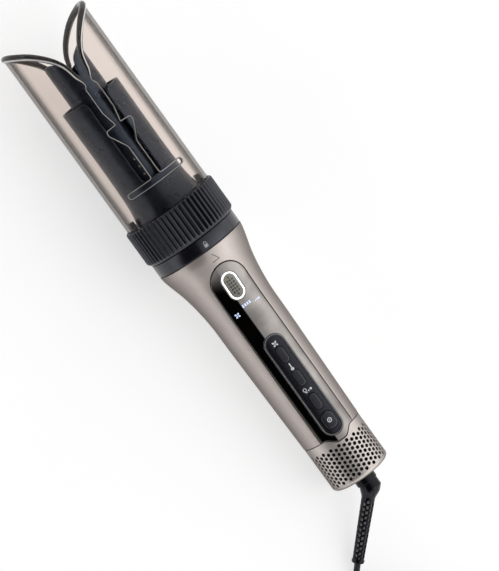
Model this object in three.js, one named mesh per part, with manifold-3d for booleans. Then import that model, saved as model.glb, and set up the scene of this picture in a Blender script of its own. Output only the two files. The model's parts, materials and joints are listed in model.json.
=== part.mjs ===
// Automatic hair curler: a hot-air handle with a clear curling attachment locked on its mouth.
// Millimetres. The tool lies on a surface, tip towards +Y and controls up (+Z), resting on its grip ring
// and its rear cover. Each piece of the tool is first built in the tool's own frame: axis along +Z from the
// base end (0) to the petal tips, and the controls facing -Y.
import * as THREE from "three";
import { mergeVertices } from "three/addons/utils/BufferGeometryUtils.js";
import Module from "manifold-3d";

const wasm = await Module();
wasm.setup();

// ---------------------------------------------------------------- driving dimensions
const GAP = 0.3; // between pieces that touch
const SIDES = 40; // facets round a turned piece

// Stations along the axis
const COVER_TOP = 31.9;
const HANDLE_TOP = 168.5;
const COLLAR_TOP = 177.5;
const RING_TOP = 201.6;
const TIPS = 330.3;

// Radii
const COVER_RADIUS = 19.8;
const COVER_SIDES = 32; // facets round the cover
const RING_RADIUS = 31.2;
const SHROUD_RADIUS = 29.4;
const SHROUD_WALL = 2;
const SLEEVE_RADIUS = 20;
const CORE_RADIUS = 13.1;
const TUBE_WALL = 1.8; // of the barrel's sleeve and core
const SHELL_WALL = 2.2;
const SPIGOT_RADIUS = 22.8;
const SPIGOT_BORE = 19.5;
const NECK_RADIUS = 6.9;
const NECK_OUT = 6.4; // how far the cord's neck stands out of the base end
const [FLANGE_LOW, FLANGE_HIGH] = [32.8, 35.8]; // of the rear frame, below the power button

// The handle's outside, as [radius, station]
const HANDLE_SIDE = [
  [19.95, COVER_TOP], [21.5, 108], [21.9, 128], [23.2, 140], [25.1, 150.5], [27.6, 159.6],
  [28.9, 164.6], [29.5, HANDLE_TOP],
];

// Control panel
const PANEL = { width: 23.7, high: 157.2, depth: 1.8 };
// Half of the chin at the panel's foot, as [x, station], from its side to its lowest point
const CHIN = [[10.1, COVER_TOP], [8.9, 31.5], [7.7, 30.7], [6, 29], [3.5, 27.25], [0, 26.5]];
const BEZEL = { width: 13.2, low: 31.9, high: 104.4, proud: 0.5 };
const LIGHT = { width: 10, height: 18.4, band: 1.6, middle: 141.9 };
const BUTTON = { width: 4.7, height: 10.7, depth: 2.4, proud: 1.0 };
const POWER = { width: 7.9, height: 10.9, corner: 3.4, middle: 41.8 };
const BUTTON_MIDDLES = { button_fan: 90.5, button_heat: 73.4, button_curl: 55.9 };

// The shroud's cuts, as half widths and stations
const SLOT = {
  lip: 3.6, straightTop: 289, straightEnd: 271, throat: 1.2, throatEnd: 260.6,
  barb: 8.6, barbEnd: 258, channel: 2.65, channelTop: 246.4, crossTop: 222.3, cross: 2.8, crossHalf: 19.7,
};
const BACK_VALLEY = 299;

// Cord
const CORD = 4; // diameter
const COIL = { x: -37, y: -255.6, middle: 23, bundle: 16, lift: 1.1 };
const PLUG = {
  width: 35, thick: 14, length: 32, nose: 4, pinRadius: 2.4, pinLength: 19, pinRoot: 5.7, pinPitch: 18.6,
};

// ---------------------------------------------------------------- solids
function solid(geometry) {
  const bare = new THREE.BufferGeometry();
  const flat = geometry.index ? geometry.toNonIndexed() : geometry;
  bare.setAttribute("position", flat.getAttribute("position"));
  const merged = mergeVertices(bare, 1e-3);
  const mesh = new wasm.Mesh({
    numProp: 3,
    vertProperties: new Float32Array(merged.attributes.position.array),
    triVerts: new Uint32Array(merged.index.array),
  });
  return new wasm.Manifold(mesh);
}

function geometryOf(made) {
  const { vertProperties, triVerts, numProp } = made.getMesh();
  const places = new Float32Array((vertProperties.length / numProp) * 3);
  for (let i = 0; i < places.length / 3; i++)
    for (let k = 0; k < 3; k++) places[3 * i + k] = vertProperties[numProp * i + k];
  const geometry = new THREE.BufferGeometry();
  geometry.setAttribute("position", new THREE.BufferAttribute(places, 3));
  geometry.setIndex(new THREE.BufferAttribute(new Uint32Array(triVerts), 1));
  return geometry;
}

const cut = (geometry, ...tools) =>
  geometryOf(tools.reduce((body, tool) => body.subtract(solid(tool)), solid(geometry)));
const join = (geometry, ...others) =>
  geometryOf(others.reduce((body, other) => body.add(solid(other)), solid(geometry)));
const common = (a, b) => geometryOf(solid(a).intersect(solid(b)));

// A piece turned about the tool's axis from a closed [radius, station] outline that runs anticlockwise.
// A facet's middle, not its edge, faces straight forwards and straight back.
function turned(outline, sides = SIDES) {
  const points = outline.map(([radius, station]) => new THREE.Vector2(radius, station));
  if (outline[0][0] > 0) points.push(points[0].clone());
  const geometry = new THREE.LatheGeometry(points, sides, Math.PI / sides);
  return geometry.rotateX(Math.PI / 2);
}

const tube = (inner, outer, low, high, sides = SIDES) =>
  turned([[inner, low], [outer, low], [outer, high], [inner, high]], sides);
const rod = (radius, low, high, sides = 24) =>
  turned([[0, low], [radius, low], [radius, high], [0, high]], sides);

// An outline drawn in x and station, pushed through from a near to a far distance towards the controls' side.
function through(shape, near, far, curveSegments = 6) {
  const options = { depth: far - near, bevelEnabled: false, curveSegments };
  return new THREE.ExtrudeGeometry(shape, options).translate(0, 0, near).rotateX(Math.PI / 2);
}

// An outline drawn across the tool, pushed along its axis.
function along(shape, low, high, curveSegments = 8) {
  const options = { depth: high - low, bevelEnabled: false, curveSegments };
  return new THREE.ExtrudeGeometry(shape, options).translate(0, 0, low);
}

function roundedRectangle(width, height, corner, middle = 0) {
  const [w, h, r] = [width / 2, height / 2, Math.min(corner, width / 2 - 1e-3, height / 2 - 1e-3)];
  const shape = new THREE.Shape();
  shape.moveTo(r - w, middle - h).lineTo(w - r, middle - h);
  shape.absarc(w - r, middle - h + r, r, -Math.PI / 2, 0).lineTo(w, middle + h - r);
  shape.absarc(w - r, middle + h - r, r, 0, Math.PI / 2).lineTo(r - w, middle + h);
  shape.absarc(r - w, middle + h - r, r, Math.PI / 2, Math.PI).lineTo(-w, middle - h + r);
  shape.absarc(r - w, middle - h + r, r, Math.PI, 1.5 * Math.PI);
  return shape;
}

const stadium = (width, low, high) =>
  roundedRectangle(width, high - low, width / 2, (low + high) / 2);

function block(width, depth, height, x, y, z) {
  return new THREE.BoxGeometry(width, depth, height).translate(x, y, z);
}

// A round bar of even thickness along a smooth line through the points.
function bar(points, radius, sides, steps) {
  const line = new THREE.CatmullRomCurve3(points.map((p) => new THREE.Vector3(...p)), false, "centripetal");
  const corners = [];
  for (let i = 0; i < sides; i++) {
    const turn = (2 * Math.PI * (i + 0.5)) / sides;
    corners.push(new THREE.Vector2(radius * Math.cos(turn), radius * Math.sin(turn)));
  }
  const options = { steps, extrudePath: line, bevelEnabled: false };
  return new THREE.ExtrudeGeometry(new THREE.Shape(corners), options);
}

// ---------------------------------------------------------------- materials
const finish = (color, roughness, metalness = 0, extra = {}) =>
  new THREE.MeshStandardMaterial({ color, roughness, metalness, ...extra });
const materials = {
  smoke: finish(0xcbb9a8, 0.08, 0, { transparent: true, opacity: 0.4 }),
  barrel: finish(0x2b2b30, 0.35),
  ribbed: finish(0x141416, 0.55),
  gloss: finish(0x0a0a0c, 0.12),
  champagne: finish(0x9a8f86, 0.35, 0.8),
  grille: finish(0xb0a69c, 0.3, 0.9),
  button: finish(0x1a1a1d, 0.4),
  glow: finish(0xf4f6ff, 0.3, 0, { emissive: 0xdde4ff }),
  board: finish(0x1f5a38, 0.6),
  resin: finish(0xe7dfcf, 0.6),
  steel: finish(0xa8a8ac, 0.3, 1),
  brass: finish(0xb08d3f, 0.35, 1),
  mica: finish(0xcdb98f, 0.7),
  rubber: finish(0x1c1c1c, 0.85),
  cord: finish(0x111112, 0.6),
  red: finish(0x8a2b22, 0.5),
  blue: finish(0x27466f, 0.5),
};

const tool = new THREE.Group();
const lead = new THREE.Group();

function add(name, geometry, material, group = tool) {
  const mesh = new THREE.Mesh(geometry, materials[material]);
  mesh.name = name;
  group.add(mesh);
  return mesh;
}

// ---------------------------------------------------------------- attachment
// Half of the mouth's edge: from a petal's tip, down its rounded flank, to the slot's lip.
function mouthFlank() {
  const flank = [[30.2, 331.5], [27.3, 329.9], [19.7, 324.9], [11, 316.6], [5.9, 308], [3.6, 300.5]];
  return new THREE.SplineCurve(flank.map((p) => new THREE.Vector2(...p))).getPoints(14);
}

const mirrored = (half) => [...half, ...half.map((p) => new THREE.Vector2(-p.x, p.y)).reverse()];

function closedShape(half) {
  const shape = new THREE.Shape(mirrored(half));
  shape.closePath();
  return shape;
}

// The front cut: the mouth, the narrowing slot, the barb, the channel and the cross slot at its foot.
function frontCut() {
  const at = (x, station) => new THREE.Vector2(x, station);
  const top = at(30.2, TIPS + 12);
  const end = SLOT.cross / 2;
  const crossEnd = [1, 0, -1].map((k) => {
    const turn = (k * Math.PI) / 3;
    return at(SLOT.crossHalf - end + end * Math.cos(turn), SLOT.crossTop - end + end * Math.sin(turn));
  });
  return closedShape([
    top, ...mouthFlank(),
    at(SLOT.lip, SLOT.straightTop), at(SLOT.lip, SLOT.straightEnd), at(2.4, 265.5),
    at(SLOT.throat, SLOT.throatEnd), at(SLOT.barb - 1, SLOT.throatEnd - 0.4),
    at(SLOT.barb, SLOT.throatEnd - 1.4), at(SLOT.barb, SLOT.barbEnd), at(SLOT.channel, SLOT.channelTop),
    at(SLOT.channel, SLOT.crossTop + 2), at(SLOT.channel + 2, SLOT.crossTop),
    ...crossEnd, at(0, SLOT.crossTop - SLOT.cross),
  ]);
}

function backCut() {
  const at = (x, station) => new THREE.Vector2(x, station);
  return closedShape([at(30.2, TIPS + 12), ...mouthFlank(), at(2.6, BACK_VALLEY), at(0, BACK_VALLEY - 0.8)]);
}

function shroud() {
  const wall = tube(SHROUD_RADIUS - SHROUD_WALL, SHROUD_RADIUS, 189.5, TIPS, 60);
  return cut(wall, through(frontCut(), 6, 40), through(backCut(), -40, -6));
}

function barrelSleeve() {
  const inner = SLEEVE_RADIUS - TUBE_WALL;
  const wall = turned([
    [inner, 189.5], [22, 189.5], [22, 203.8], [20.9, 209], [20.25, 216], [SLEEVE_RADIUS, 224],
    [SLEEVE_RADIUS, 281.7], [inner, 281.7],
  ]);
  const opening = roundedRectangle(14.6, 90, 3, 255); // the C's mouth, open at the top
  return cut(wall, through(opening, 5, 40));
}

function barrelCore() {
  const wall = tube(CORE_RADIUS - TUBE_WALL, CORE_RADIUS, 183, 315.5, 36);
  const notch = (valley) => {
    const half = [[16, 330], [14, 316.5], [9.8, 311.8], [4.5, 307], [0, valley]];
    return closedShape(half.map(([x, station]) => new THREE.Vector2(x, station)));
  };
  return cut(wall, through(notch(304.5), -30, -0.5), through(notch(296), 0.5, 30));
}

// The ring of slanting air slots at the foot of the barrel, with two clips that hold the shroud.
function airSwirler() {
  const plate = tube(22.3, 27.1, 199, 201.5, 36);
  const slots = [];
  for (let i = 0; i < 14; i++) {
    const slot = block(2, 3.4, 6, 0, 0, 0).rotateY(0.6).translate(0, -24.8, 200.2);
    slots.push(slot.rotateZ(((i + 0.5) * Math.PI) / 7));
  }
  const clips = [-1, 1].map((side) => block(3, 6, 5.4, side * 24.6, 0, 203.6));
  return join(cut(plate, ...slots), ...clips);
}

function gripRing() {
  const ribs = 60;
  const [valley, crest] = [RING_RADIUS - 1.0, RING_RADIUS];
  const corners = [];
  for (let i = 0; i < ribs; i++) {
    // [radius, angle in ribs] round one rib
    for (const [radius, share] of [[valley, 0.05], [crest, 0.25], [crest, 0.75], [valley, 0.95]]) {
      const turn = ((i + share) * 2 * Math.PI) / ribs + Math.PI / 2;
      corners.push(new THREE.Vector2(radius * Math.cos(turn), radius * Math.sin(turn)));
    }
  }
  const ring = along(new THREE.Shape(corners), COLLAR_TOP, RING_TOP);
  return cut(ring, rod(23.1, 170, 210, 28), rod(29.7, 186.3, 210, SIDES));
}

function addAttachment() {
  add("shroud", shroud(), "smoke");
  add("barrel_sleeve", barrelSleeve(), "barrel");
  add("barrel_core", barrelCore(), "barrel");
  add("air_swirler", airSwirler(), "barrel");
  add("barrel_base", tube(13.4, 29.3, 186.6, 189.2, 36), "barrel");
  add("grip_ring", gripRing(), "ribbed");
  add("lock_collar", turned([
    [23.1, 168.8], [28.9, 168.8], [SHROUD_RADIUS, 169.4],
    [SHROUD_RADIUS, 176.6], [28.9, 177.2], [23.1, 177.2],
  ]), "gloss");
  add("coupling_spigot", turned([
    [SPIGOT_BORE, 156], [SPIGOT_RADIUS, 156], [SPIGOT_RADIUS, 165.8], [21.6, 165.8], [21.6, 168.2],
    [SPIGOT_RADIUS, 168.2], [SPIGOT_RADIUS, 186.3], [SPIGOT_BORE, 186.3],
  ], 28), "barrel");
  add("spigot_seal", new THREE.TorusGeometry(22.5, 0.55, 5, 28).translate(0, 0, 167), "rubber");
}

// ---------------------------------------------------------------- handle
const handleOutline = (offset) => HANDLE_SIDE.map(([radius, station]) => [radius + offset, station]);

// A layer of the handle's side between two offsets from its outside.
function handleLayer(inner, outer, low = COVER_TOP - 10, high = HANDLE_TOP) {
  const rise = handleOutline(outer).filter(([, z]) => z > low && z < high);
  const fall = handleOutline(inner).filter(([, z]) => z > low && z < high).reverse();
  const lowRadius = HANDLE_SIDE[0][0];
  const highRadius = HANDLE_SIDE.at(-1)[0];
  return turned([
    [lowRadius + inner, low], [lowRadius + outer, low], ...rise,
    [highRadius + outer, high], [highRadius + inner, high], ...fall,
  ]);
}

// The panel's window: round at the display's end and open at the rear cover.
function panelOutline(grown, low) {
  const half = PANEL.width / 2 + grown;
  const shape = new THREE.Shape();
  shape.moveTo(-half, low).lineTo(half, low);
  shape.absarc(0, PANEL.high + grown - half, half, 0, Math.PI);
  return shape;
}

// The chin that dips from the panel's foot into a notch in the rear cover.
const chin = (grown) => closedShape([
  new THREE.Vector2(CHIN[0][0] + grown, COVER_TOP + 1),
  ...CHIN.map(([x, station]) => new THREE.Vector2(x + grown, station - grown)),
]);

function handleShell() {
  const shell = handleLayer(-SHELL_WALL, 0, COVER_TOP + GAP, HANDLE_TOP);
  return cut(shell, through(panelOutline(GAP, COVER_TOP - 5), 5, 40));
}

const lightOutline = (inset) => {
  const half = LIGHT.height / 2 - inset;
  return stadium(LIGHT.width - 2 * inset, LIGHT.middle - half, LIGHT.middle + half);
};
const buttonOutline = (middle, grown) =>
  stadium(BUTTON.width + 2 * grown, middle - BUTTON.height / 2 - grown, middle + BUTTON.height / 2 + grown);
const powerOutline = (grown) =>
  roundedRectangle(POWER.width + 2 * grown, POWER.height + 2 * grown, POWER.corner + grown, POWER.middle);

function addControls() {
  const skin = handleLayer(-PANEL.depth, 0);
  const foot = through(chin(0), 5, 40);
  const panel = common(skin, join(through(panelOutline(0, COVER_TOP + GAP), 5, 40), foot));
  const bezelHole = stadium(BEZEL.width + 2 * GAP, BEZEL.low - GAP, BEZEL.high + GAP);
  add("control_panel", cut(panel, through(bezelHole, 5, 40), through(lightOutline(-GAP), 5, 40)), "gloss");
  const bezelOutline = through(stadium(BEZEL.width, BEZEL.low, BEZEL.high), 5, 40);
  const bezel = common(handleLayer(-PANEL.depth, BEZEL.proud), bezelOutline);
  const holes = Object.values(BUTTON_MIDDLES).map((middle) => through(buttonOutline(middle, GAP), 5, 40, 4));
  add("button_bezel", cut(bezel, ...holes, through(powerOutline(GAP), 5, 40, 4)), "gloss");
  const cap = handleLayer(-BUTTON.depth, BUTTON.proud);
  for (const [name, middle] of Object.entries(BUTTON_MIDDLES))
    add(name, common(cap, through(buttonOutline(middle, 0), 5, 40, 4)), "button");
  add("power_button", common(cap, through(powerOutline(0), 5, 40, 4)), "button");
  const ring = common(handleLayer(-PANEL.depth, 0.1), through(lightOutline(0), 5, 40, 5));
  add("display_light_ring", cut(ring, through(lightOutline(LIGHT.band), 5, 40, 5)), "glow");
  add("display_window", common(skin, through(lightOutline(LIGHT.band + GAP), 5, 40, 5)), "gloss");
  add("main_board", mainBoard(), "board");
}

// The board under the panel, with a switch beneath each button and the lamp beneath the display.
function mainBoard() {
  const board = block(16, 1.2, 112, 0, -14.6, 94);
  const middles = [...Object.values(BUTTON_MIDDLES), POWER.middle];
  const switches = middles.map((middle) => block(3.4, 1.6, 3.4, 0, -15.9, middle));
  return join(board, ...switches, block(6, 2.2, 13, 0, -16, LIGHT.middle));
}

function addAirPath() {
  const housing = tube(12.5, 13.6, 48, 92, 28);
  add("fan_housing", housing, "resin");
  const seal = tube(13.9, 17.6, 86, 89.6, 28);
  add("fan_seal", cut(seal, block(40, 10, 10, 0, -18.6, 88)), "rubber");
  const blades = [];
  for (let i = 0; i < 9; i++) {
    const blade = block(1, 8.9, 7.4, 0, 0, 0).rotateY(0.65).translate(0, -7.4, 55.5);
    blades.push(blade.rotateZ((i * 2 * Math.PI) / 9));
  }
  add("impeller", cut(join(rod(4, 51.5, 60), ...blades), rod(1.3, 45, 62, 12)), "resin");
  add("motor_shaft", rod(1, 50.5, 63.7, 12), "steel");
  add("motor_can", cut(rod(8, 62, 82, 24), rod(1.4, 60, 64, 12)), "steel");
  const arms = [0, 1].map((k) => block(24.2, 3.4, 7, 0, 0, 72).rotateZ(Math.PI / 4 + (k * Math.PI) / 2));
  add("motor_mount", cut(join(tube(7, 9.8, 68, 76, 24), ...arms), rod(8.3, 60, 90, 24)), "rubber");
  add("heater_tube", tube(12.8, 13.6, 96, 150, 28), "mica");
  const plates = block(16, 1, 46, 0, 0, 123);
  add("heater_frame", join(plates, block(1, 16, 46, 0, 0, 123)), "mica");
  const turns = 5;
  const winding = [];
  for (let i = 0; i <= turns * 8; i++) {
    const turn = (i * Math.PI) / 4;
    winding.push([9.8 * Math.cos(turn), 9.8 * Math.sin(turn), 103 + (40 * i) / (turns * 8)]);
  }
  add("heater_coil", bar(winding, 0.6, 4, turns * 10), "steel");
  add("thermal_fuse", rod(1.8, 0, 9, 12).translate(4, 4, 148), "steel");
  const needle = rod(0.5, 0, 4, 8).translate(0, 17.2, 151);
  add("ion_emitter", join(block(6, 4.4, 12, 0, 17.2, 146), needle), "resin");
  add("mouth_seal", tube(19.2, 22.6, 152.4, 155.6, 28), "rubber");
  add("bayonet_ring", cut(tube(23.2, 24.4, 158, 163.6, 28),
    ...[0, 1, 2].map((k) => block(5, 6, 3, 0, -24, 163).rotateZ((k * 2 * Math.PI) / 3))), "steel");
}

// ---------------------------------------------------------------- base end
function rearFrame() {
  const hub = turned([
    [7.2, 2.2], [10, 2.2], [10, FLANGE_LOW], [17.3, FLANGE_LOW], [17.3, FLANGE_HIGH], [8.4, FLANGE_HIGH],
    [8.4, 16.6], [7.2, 16.6],
  ], 24);
  const windows = [];
  for (let i = 0; i < 6; i++)
    windows.push(block(5, 4.6, 8, 0, -13.6, FLANGE_LOW + 1.5).rotateZ(((i + 0.5) * Math.PI) / 3));
  return cut(hub, ...windows);
}

function filterCover() {
  const wall = COVER_RADIUS - 1.3;
  const cup = turned([
    [7.3, 0], [17.4, 0], [19.1, 0.9], [COVER_RADIUS, 3], [COVER_RADIUS, COVER_TOP],
    [wall, COVER_TOP], [wall, 3.6], [17, 1.6], [7.3, 1.6],
  ], COVER_SIDES);
  const notch = through(chin(GAP), 5, 40);
  const holes = [];
  for (let column = 0; column < 10; column++)
    for (let row = 0; row < 2; row++) {
      const turn = ((column + 0.5) * 2 * Math.PI) / 10;
      holes.push(block(5, 6, 9, 0, -19, 9.5 + 12 * row).rotateZ(turn));
    }
  return cut(cup, notch, ...holes);
}

function addBase() {
  add("rear_frame", rearFrame(), "resin");
  add("filter_cover", filterCover(), "grille");
  add("filter_mesh", tube(17.3, 18.1, 4.2, 26.8, 28), "steel");
  add("slip_ring_block", cut(rod(8.1, 20, 26.4), rod(3, 19, 24, 12)), "brass");
  const wireRoute = (side) => [
    [4 * side, 0, 26.8], [4 * side, -1, 32], [4.4 * side, -6.4, 39.4], [5 * side, -11, 42],
    [5 * side, -13.6, 43.4],
  ];
  add("lead_live", bar(wireRoute(1), 0.8, 6, 12), "red");
  add("lead_neutral", bar(wireRoute(-1), 0.8, 6, 12), "blue");
  for (const side of [-1, 1])
    add(side < 0 ? "frame_screw_left" : "frame_screw_right",
      join(rod(2, 0, 1.4, 12), rod(1, -2, 0.6, 8)).translate(14 * side, 0, FLANGE_HIGH + 2.4), "steel");
  add("swivel_neck", turned([
    [0, -NECK_OUT], [NECK_RADIUS, -NECK_OUT], [NECK_RADIUS, 16.9], [8.1, 16.9], [8.1, 19.6], [0, 19.6],
  ], 24), "cord");
}

addAttachment();
addControls();
add("handle_shell", handleShell(), "champagne");
addAirPath();
addBase();

// ---------------------------------------------------------------- how it lies
// The grip ring's rear edge and the cover's edge touch the surface together.
const ringLow = RING_RADIUS * Math.cos((0.25 * 2 * Math.PI) / 60);
const coverLow = COVER_RADIUS * Math.cos(Math.PI / COVER_SIDES);
const tilt = Math.atan((ringLow - coverLow) / (COLLAR_TOP - 3));
tool.rotation.x = tilt - Math.PI / 2;
const extent = new THREE.Box3().setFromObject(tool, true);
tool.position.set(0, -(extent.min.y + extent.max.y) / 2, -extent.min.z);

// ---------------------------------------------------------------- cord
// The lead leaves the neck, bends to the tool's left, comes down to the surface and runs to its coil.
const LEAD_ROUTE = [
  [0, -168.4, 19.04], [0, -169.2, 18.98], [-0.75, -171.1, 18.75], [-3.1, -174.2, 17.6], [-6.1, -177.5, 16.35],
  [-13.6, -185.5, 13.3], [-22.5, -195, 9.6], [-32.4, -205.6, 5.5], [-35.7, -209.3, 4.2],
  [-39, -213.1, 3.05], [-42.3, -216.9, 2.3], [-47.3, -222.9, 2.02],
];
const RELIEF_POINTS = 8; // the first of them run inside the strain relief
const TAIL_ROUTE = [
  [-25.7, -287.7, 13.3], [-20.1, -292.5, 10.9], [-16.6, -298.4, 8.7], [-15.1, -304.3, 7.4], [-15, -309.5, 7],
];

// Points moved along by the gap that touching pieces keep.
function inset(points, distance) {
  const [first, second] = points.slice(0, 2).map((p) => new THREE.Vector3(...p));
  const start = second.sub(first).setLength(distance).add(first);
  return [start.toArray(), ...points.slice(1)];
}

function coil() {
  const [inner, outer] = [COIL.middle - COIL.bundle / 2, COIL.middle + COIL.bundle / 2];
  const [low, high, round] = [COIL.lift, COIL.lift + COIL.bundle, CORD / 2];
  return turned([
    [inner + round, low], [outer - round, low], [outer, low + round], [outer, high - round],
    [outer - round, high], [inner + round, high], [inner, high - round], [inner, low + round],
  ], 28).translate(COIL.x, COIL.y, 0);
}

// A strap round the coil's bundle, on the side away from the tool's left.
function coilTie() {
  const [strap, width] = [0.8, 8];
  const [inner, outer] = [COIL.middle - COIL.bundle / 2 - 0.9, COIL.middle + COIL.bundle / 2 + GAP];
  const top = COIL.lift + COIL.bundle + GAP;
  const loop = roundedRectangle(outer - inner + 2 * strap, top + strap, 2.4, (top + strap) / 2);
  loop.holes.push(roundedRectangle(outer - inner, top - strap, 1.8, (top + strap) / 2));
  return through(loop, -width / 2, width / 2, 3).translate(COIL.x + (inner + outer) / 2, COIL.y, 0);
}

// Places a piece of the plug, drawn along +X from the cord's end, so that its pins point along -Y.
function onTail(shape) {
  const [x, y, z] = TAIL_ROUTE.at(-1);
  return shape.rotateZ(-Math.PI / 2).translate(x, y - GAP, z);
}

function plugBody() {
  const [chamfer, face] = [1.5, PLUG.nose + PLUG.length];
  const slab = new THREE.ExtrudeGeometry(roundedRectangle(PLUG.length, PLUG.width, 7, 0), {
    depth: PLUG.thick - 2 * chamfer, bevelEnabled: true, bevelThickness: chamfer, bevelSize: chamfer,
    bevelOffset: -chamfer, bevelSegments: 1, curveSegments: 4,
  }).translate(PLUG.nose + PLUG.length / 2, 0, chamfer - PLUG.thick / 2);
  const nose = rod(4.2, 0, PLUG.nose + 3, 16).rotateY(Math.PI / 2);
  const bores = [-1, 1].map((side) =>
    rod(PLUG.pinRadius + GAP, 0, 10, 12).rotateY(Math.PI / 2)
      .translate(face - PLUG.pinRoot - GAP, (side * PLUG.pinPitch) / 2, 0));
  return onTail(cut(join(slab, nose), ...bores));
}

function plugPin(side) {
  const root = PLUG.nose + PLUG.length - PLUG.pinRoot;
  const pin = rod(PLUG.pinRadius, 0, PLUG.pinRoot + PLUG.pinLength, 12).rotateY(Math.PI / 2);
  return onTail(pin.translate(root, (side * PLUG.pinPitch) / 2, 0));
}

add("strain_relief", bar(LEAD_ROUTE.slice(0, RELIEF_POINTS), 3.6, 10, 20), "rubber", lead);
add("cord_lead", bar(inset(LEAD_ROUTE.slice(RELIEF_POINTS - 1), GAP), CORD / 2, 8, 8), "cord", lead);
add("cord_coil", coil(), "cord", lead);
add("coil_tie", coilTie(), "rubber", lead);
add("cord_tail", bar(TAIL_ROUTE, CORD / 2, 8, 4), "cord", lead);
add("plug_body", plugBody(), "rubber", lead);
add("plug_pin_left", plugPin(-1), "steel", lead);
add("plug_pin_right", plugPin(1), "steel", lead);

const curler = new THREE.Group();
curler.add(tool, lead);
export default curler;
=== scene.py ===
"""The looks of an automatic hair curler: a hot-air handle with a clear curling attachment on its mouth."""
import json
from math import asin, atan2, ceil, cos, degrees, floor, hypot, pi, radians, sin, sqrt, tan

import bpy
import numpy as np
from mathutils import Matrix, Vector
from mathutils.geometry import delaunay_2d_cdt
from mathutils.kdtree import KDTree


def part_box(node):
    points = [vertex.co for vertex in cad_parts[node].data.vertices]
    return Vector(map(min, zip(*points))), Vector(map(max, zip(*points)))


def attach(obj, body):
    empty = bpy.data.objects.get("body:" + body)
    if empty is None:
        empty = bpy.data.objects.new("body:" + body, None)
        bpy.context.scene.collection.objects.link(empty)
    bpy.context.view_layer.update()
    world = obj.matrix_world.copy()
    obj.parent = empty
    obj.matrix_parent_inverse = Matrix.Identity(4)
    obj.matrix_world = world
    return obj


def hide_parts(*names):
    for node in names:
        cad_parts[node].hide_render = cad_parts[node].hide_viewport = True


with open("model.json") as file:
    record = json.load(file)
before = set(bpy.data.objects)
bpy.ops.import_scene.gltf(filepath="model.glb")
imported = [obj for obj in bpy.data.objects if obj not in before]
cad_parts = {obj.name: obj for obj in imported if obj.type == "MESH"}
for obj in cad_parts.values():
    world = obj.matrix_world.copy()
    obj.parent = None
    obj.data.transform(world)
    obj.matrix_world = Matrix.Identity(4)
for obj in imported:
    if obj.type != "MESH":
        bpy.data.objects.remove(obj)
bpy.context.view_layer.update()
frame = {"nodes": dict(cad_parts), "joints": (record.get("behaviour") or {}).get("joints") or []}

MM = 0.001
FULL = 2 * pi
IN_PLACE = Matrix.Scale(MM, 4)  # for pieces drawn in the room's own millimetres

# ---- the tool's own frame
# Pieces of the tool are built in millimetres: x to the tool's right, -y towards its controls, and z along
# its axis from the base end to the petal tips. A place on a turned piece is an angle round the axis, from
# the controls' middle towards the tool's right, and a station along the axis.
swivel = next(joint for joint in frame["joints"] if joint["name"] == "cord_swivel")
TIP = Vector(swivel["axis"]).normalized()
RIGHT = Vector((1, 0, 0))
BACK = TIP.cross(RIGHT)
BASE = Vector(swivel["pos_m"])
TO_ROOM = Matrix.Translation(BASE) @ Matrix((RIGHT, BACK, TIP)).transposed().to_4x4() @ IN_PLACE
FROM_ROOM = TO_ROOM.inverted()


def corners(node):
    """A CAD node's corners in the tool's frame."""
    return np.array([FROM_ROOM @ v.co for v in frame["nodes"][node].data.vertices])


def reach(node):
    """The lowest and highest station of a CAD node."""
    stations = corners(node)[:, 2]
    return float(stations.min()), float(stations.max())


def tube(node):
    """A plain round CAD node's lowest and highest station, its radius and its side."""
    radius = float(np.hypot(*corners(node)[:, :2].T).max())
    return *reach(node), radius, lambda station: np.full(np.shape(station), radius)


class Side:
    """The outside radius of a turned CAD node along its axis, read down its uncut back."""

    def __init__(self, node):
        rings = {}
        for x, y, z in corners(node):
            if y > 2 * abs(x):
                ring = round(float(z), 1)
                rings[ring] = max(rings.get(ring, 0.0), hypot(x, y))
        self.stations = np.array(sorted(rings))
        self.radii = np.array([rings[z] for z in self.stations])
        self.slopes = np.gradient(self.radii, self.stations)

    def __call__(self, station):
        z, s, r, m = np.asarray(station, float), self.stations, self.radii, self.slopes
        z = np.clip(z, s[0], s[-1])
        i = np.clip(np.searchsorted(s, z) - 1, 0, len(s) - 2)
        step = s[i + 1] - s[i]
        t = (z - s[i]) / step
        start = r[i] * (2 * t**3 - 3 * t**2 + 1) + m[i] * step * (t**3 - 2 * t**2 + t)
        return start + r[i + 1] * (3 * t**2 - 2 * t**3) + m[i + 1] * step * (t**3 - t**2)


def add_object(name, data):
    made = bpy.data.objects.new(name, data)
    bpy.context.scene.collection.objects.link(made)
    return made


# ---- camera
def aim(thing, place, target, upwards):
    """Stands a camera or lamp at a place, facing its target, with upwards pointing up."""
    away = (place - target).normalized()
    side = upwards.cross(away).normalized()
    thing.location = place
    thing.rotation_mode = "QUATERNION"
    thing.rotation_quaternion = Matrix((side, away.cross(side), away)).transposed().to_quaternion()


VIEW_ROUND = radians(8.7)  # the camera stands this far round to the tool's left
VIEW_RAISED = radians(6.4)  # and this far towards its tip
VIEW_DISTANCE = 2.2
VIEW_LEAN = radians(36.85)  # how far the view's top leans from the tool's tip to its right
VIEW_TARGET = Vector((0.0113, -0.0289, 0.030))

sideways = cos(VIEW_ROUND) * -BACK - sin(VIEW_ROUND) * RIGHT
towards_camera = cos(VIEW_RAISED) * sideways + sin(VIEW_RAISED) * TIP
eye = TO_ROOM @ Vector((0, 0, reach("lock_collar")[1])) + towards_camera * VIEW_DISTANCE
camera = add_object("camera", bpy.data.cameras.new("camera"))
camera.data.lens = 231
camera.data.clip_end = 50
aim(camera, eye, VIEW_TARGET, Vector((sin(VIEW_LEAN), cos(VIEW_LEAN), 0)))
bpy.context.scene.camera = camera
bpy.context.scene.view_settings.view_transform = "Standard"


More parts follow.
